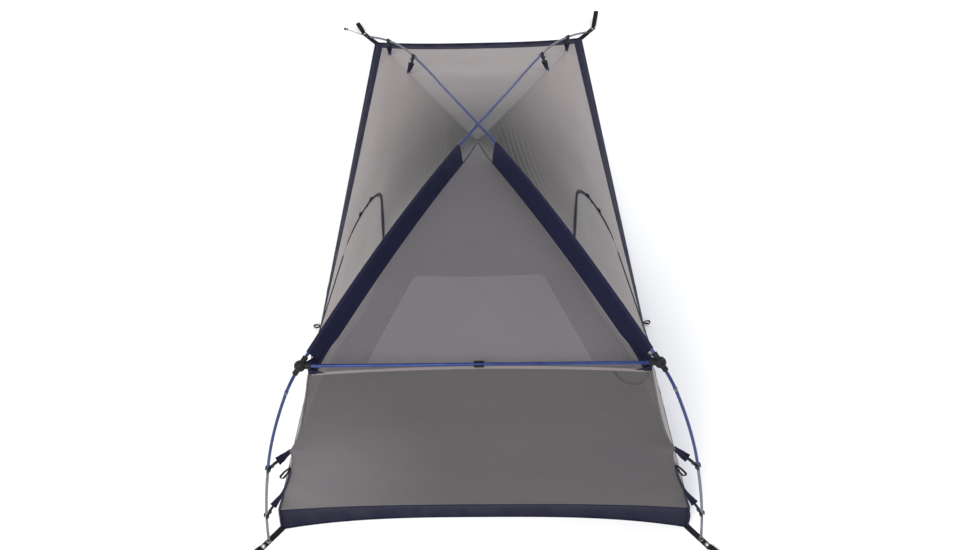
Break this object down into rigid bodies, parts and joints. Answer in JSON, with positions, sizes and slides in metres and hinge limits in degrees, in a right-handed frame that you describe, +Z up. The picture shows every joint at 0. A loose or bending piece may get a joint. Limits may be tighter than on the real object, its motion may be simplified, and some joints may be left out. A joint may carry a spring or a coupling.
{
  "type": "frame tent",
  "caption": "Free-standing two-pole tent: mesh canopy with arched side doors, bathtub floor, hubbed crossing poles, a crossbar, hook clips and corner straps.",
  "frame": {"origin": "on the ground under the middle of the tent", "axes": "+Z up, -Y towards the wide, tall head end, +Y towards the foot end, +X to the right seen from the head end looking in"},
  "size_m": [1.5896, 2.3589, 0.9295],
  "materials": {
    "navy_fabric": "coated ripstop, satin",
    "mesh": "fine insect mesh",
    "blue_tube": "blue anodised",
    "silver_tube": "bare satin",
    "ferrule": "bright",
    "black_plastic": "moulded, fine grain",
    "black_webbing": "woven",
    "grommet": "pressed",
    "zip_tape": "woven tape with coil",
    "slider": "black enamel",
    "cord": "braided elastic"
  },
  "bodies": {
    "tent": {"pole_a_end_tubes": "silver_tube", "pole_a_roof_tubes": "blue_tube", "pole_a_elbow": "blue_tube", "pole_a_leg_tube": "blue_tube", "pole_b_end_tubes": "silver_tube", "pole_b_roof_tubes": "blue_tube", "pole_b_elbow": "blue_tube", "pole_b_leg_tube": "blue_tube", "pole_ferrules": "ferrule", "pole_shock_cords": "cord", "pole_tips": "black_plastic", "hub_right": "black_plastic", "hub_left": "black_plastic", "crossbar_tubes": "blue_tube", "crossbar_ferrule": "ferrule", "crossbar_shock_cord": "cord", "pole_clips_front": "black_plastic", "pole_clips_rear": "black_plastic", "clip_tabs_front": "navy_fabric", "clip_tabs_rear": "navy_fabric", "crossbar_clip": "black_plastic", "floor_sheet": "navy_fabric", "bathtub_front": "navy_fabric", "bathtub_rear": "navy_fabric", "wall_front": "mesh", "wall_back": "mesh", "roof_panel": "mesh", "bathtub_right": "navy_fabric", "wall_right": "mesh", "zip_wall_right": "zip_tape", "bathtub_left": "navy_fabric", "wall_left": "mesh", "zip_wall_left": "zip_tape", "sleeve_right": "navy_fabric", "sleeve_left": "navy_fabric", "corner_straps_front": "black_webbing", "corner_straps_rear": "black_webbing", "strap_grommets": "grommet", "stake_loops": "black_webbing", "guy_loops": "black_webbing", "crossbar_strap": "black_webbing", "hub_patches": "navy_fabric", "gear_loft": "mesh", "gear_loft_loops": "cord", "corner_cord": "cord", "cord_hook": "black_plastic"},
    "door_right": {"door_right": "mesh", "zip_door_right": "zip_tape"},
    "slider_right_low": {"zip_slider_right_low": "slider", "zip_pull_right_low": "black_webbing"},
    "slider_right_high": {"zip_slider_right_high": "slider", "zip_pull_right_high": "black_webbing"},
    "door_left": {"door_left": "mesh", "zip_door_left": "zip_tape"},
    "slider_left_low": {"zip_slider_left_low": "slider", "zip_pull_left_low": "black_webbing"},
    "slider_left_high": {"zip_slider_left_high": "slider", "zip_pull_left_high": "black_webbing"}
  },
  "joints": [
    {"name": "door_right_hinge", "type": "hinge", "parent": "tent", "child": "door_right", "pos_m": [0.56843, -0.39491, 0.21455], "axis": [-0.1897, 0.9789, -0.0758], "range_deg": [0, 130]},
    {"name": "zip_right_low", "type": "hinge", "parent": "door_right", "child": "slider_right_low", "pos_m": [0.43007, -0.13089, 0.34246], "axis": [0.8444, 0.2021, 0.4962], "range_deg": [-40, 0]},
    {"name": "zip_right_high", "type": "hinge", "parent": "door_right", "child": "slider_right_high", "pos_m": [0.43007, -0.13089, 0.34246], "axis": [0.8444, 0.2021, 0.4962], "range_deg": [0, 50]},
    {"name": "door_left_hinge", "type": "hinge", "parent": "tent", "child": "door_left", "pos_m": [-0.56843, -0.39491, 0.21455], "axis": [-0.1897, -0.9789, 0.0758], "range_deg": [0, 130]},
    {"name": "zip_left_low", "type": "hinge", "parent": "door_left", "child": "slider_left_low", "pos_m": [-0.43007, -0.13089, 0.34246], "axis": [0.8444, -0.2021, -0.4962], "range_deg": [-40, 0]},
    {"name": "zip_left_high", "type": "hinge", "parent": "door_left", "child": "slider_left_high", "pos_m": [-0.43007, -0.13089, 0.34246], "axis": [0.8444, -0.2021, -0.4962], "range_deg": [0, 50]}
  ]
}
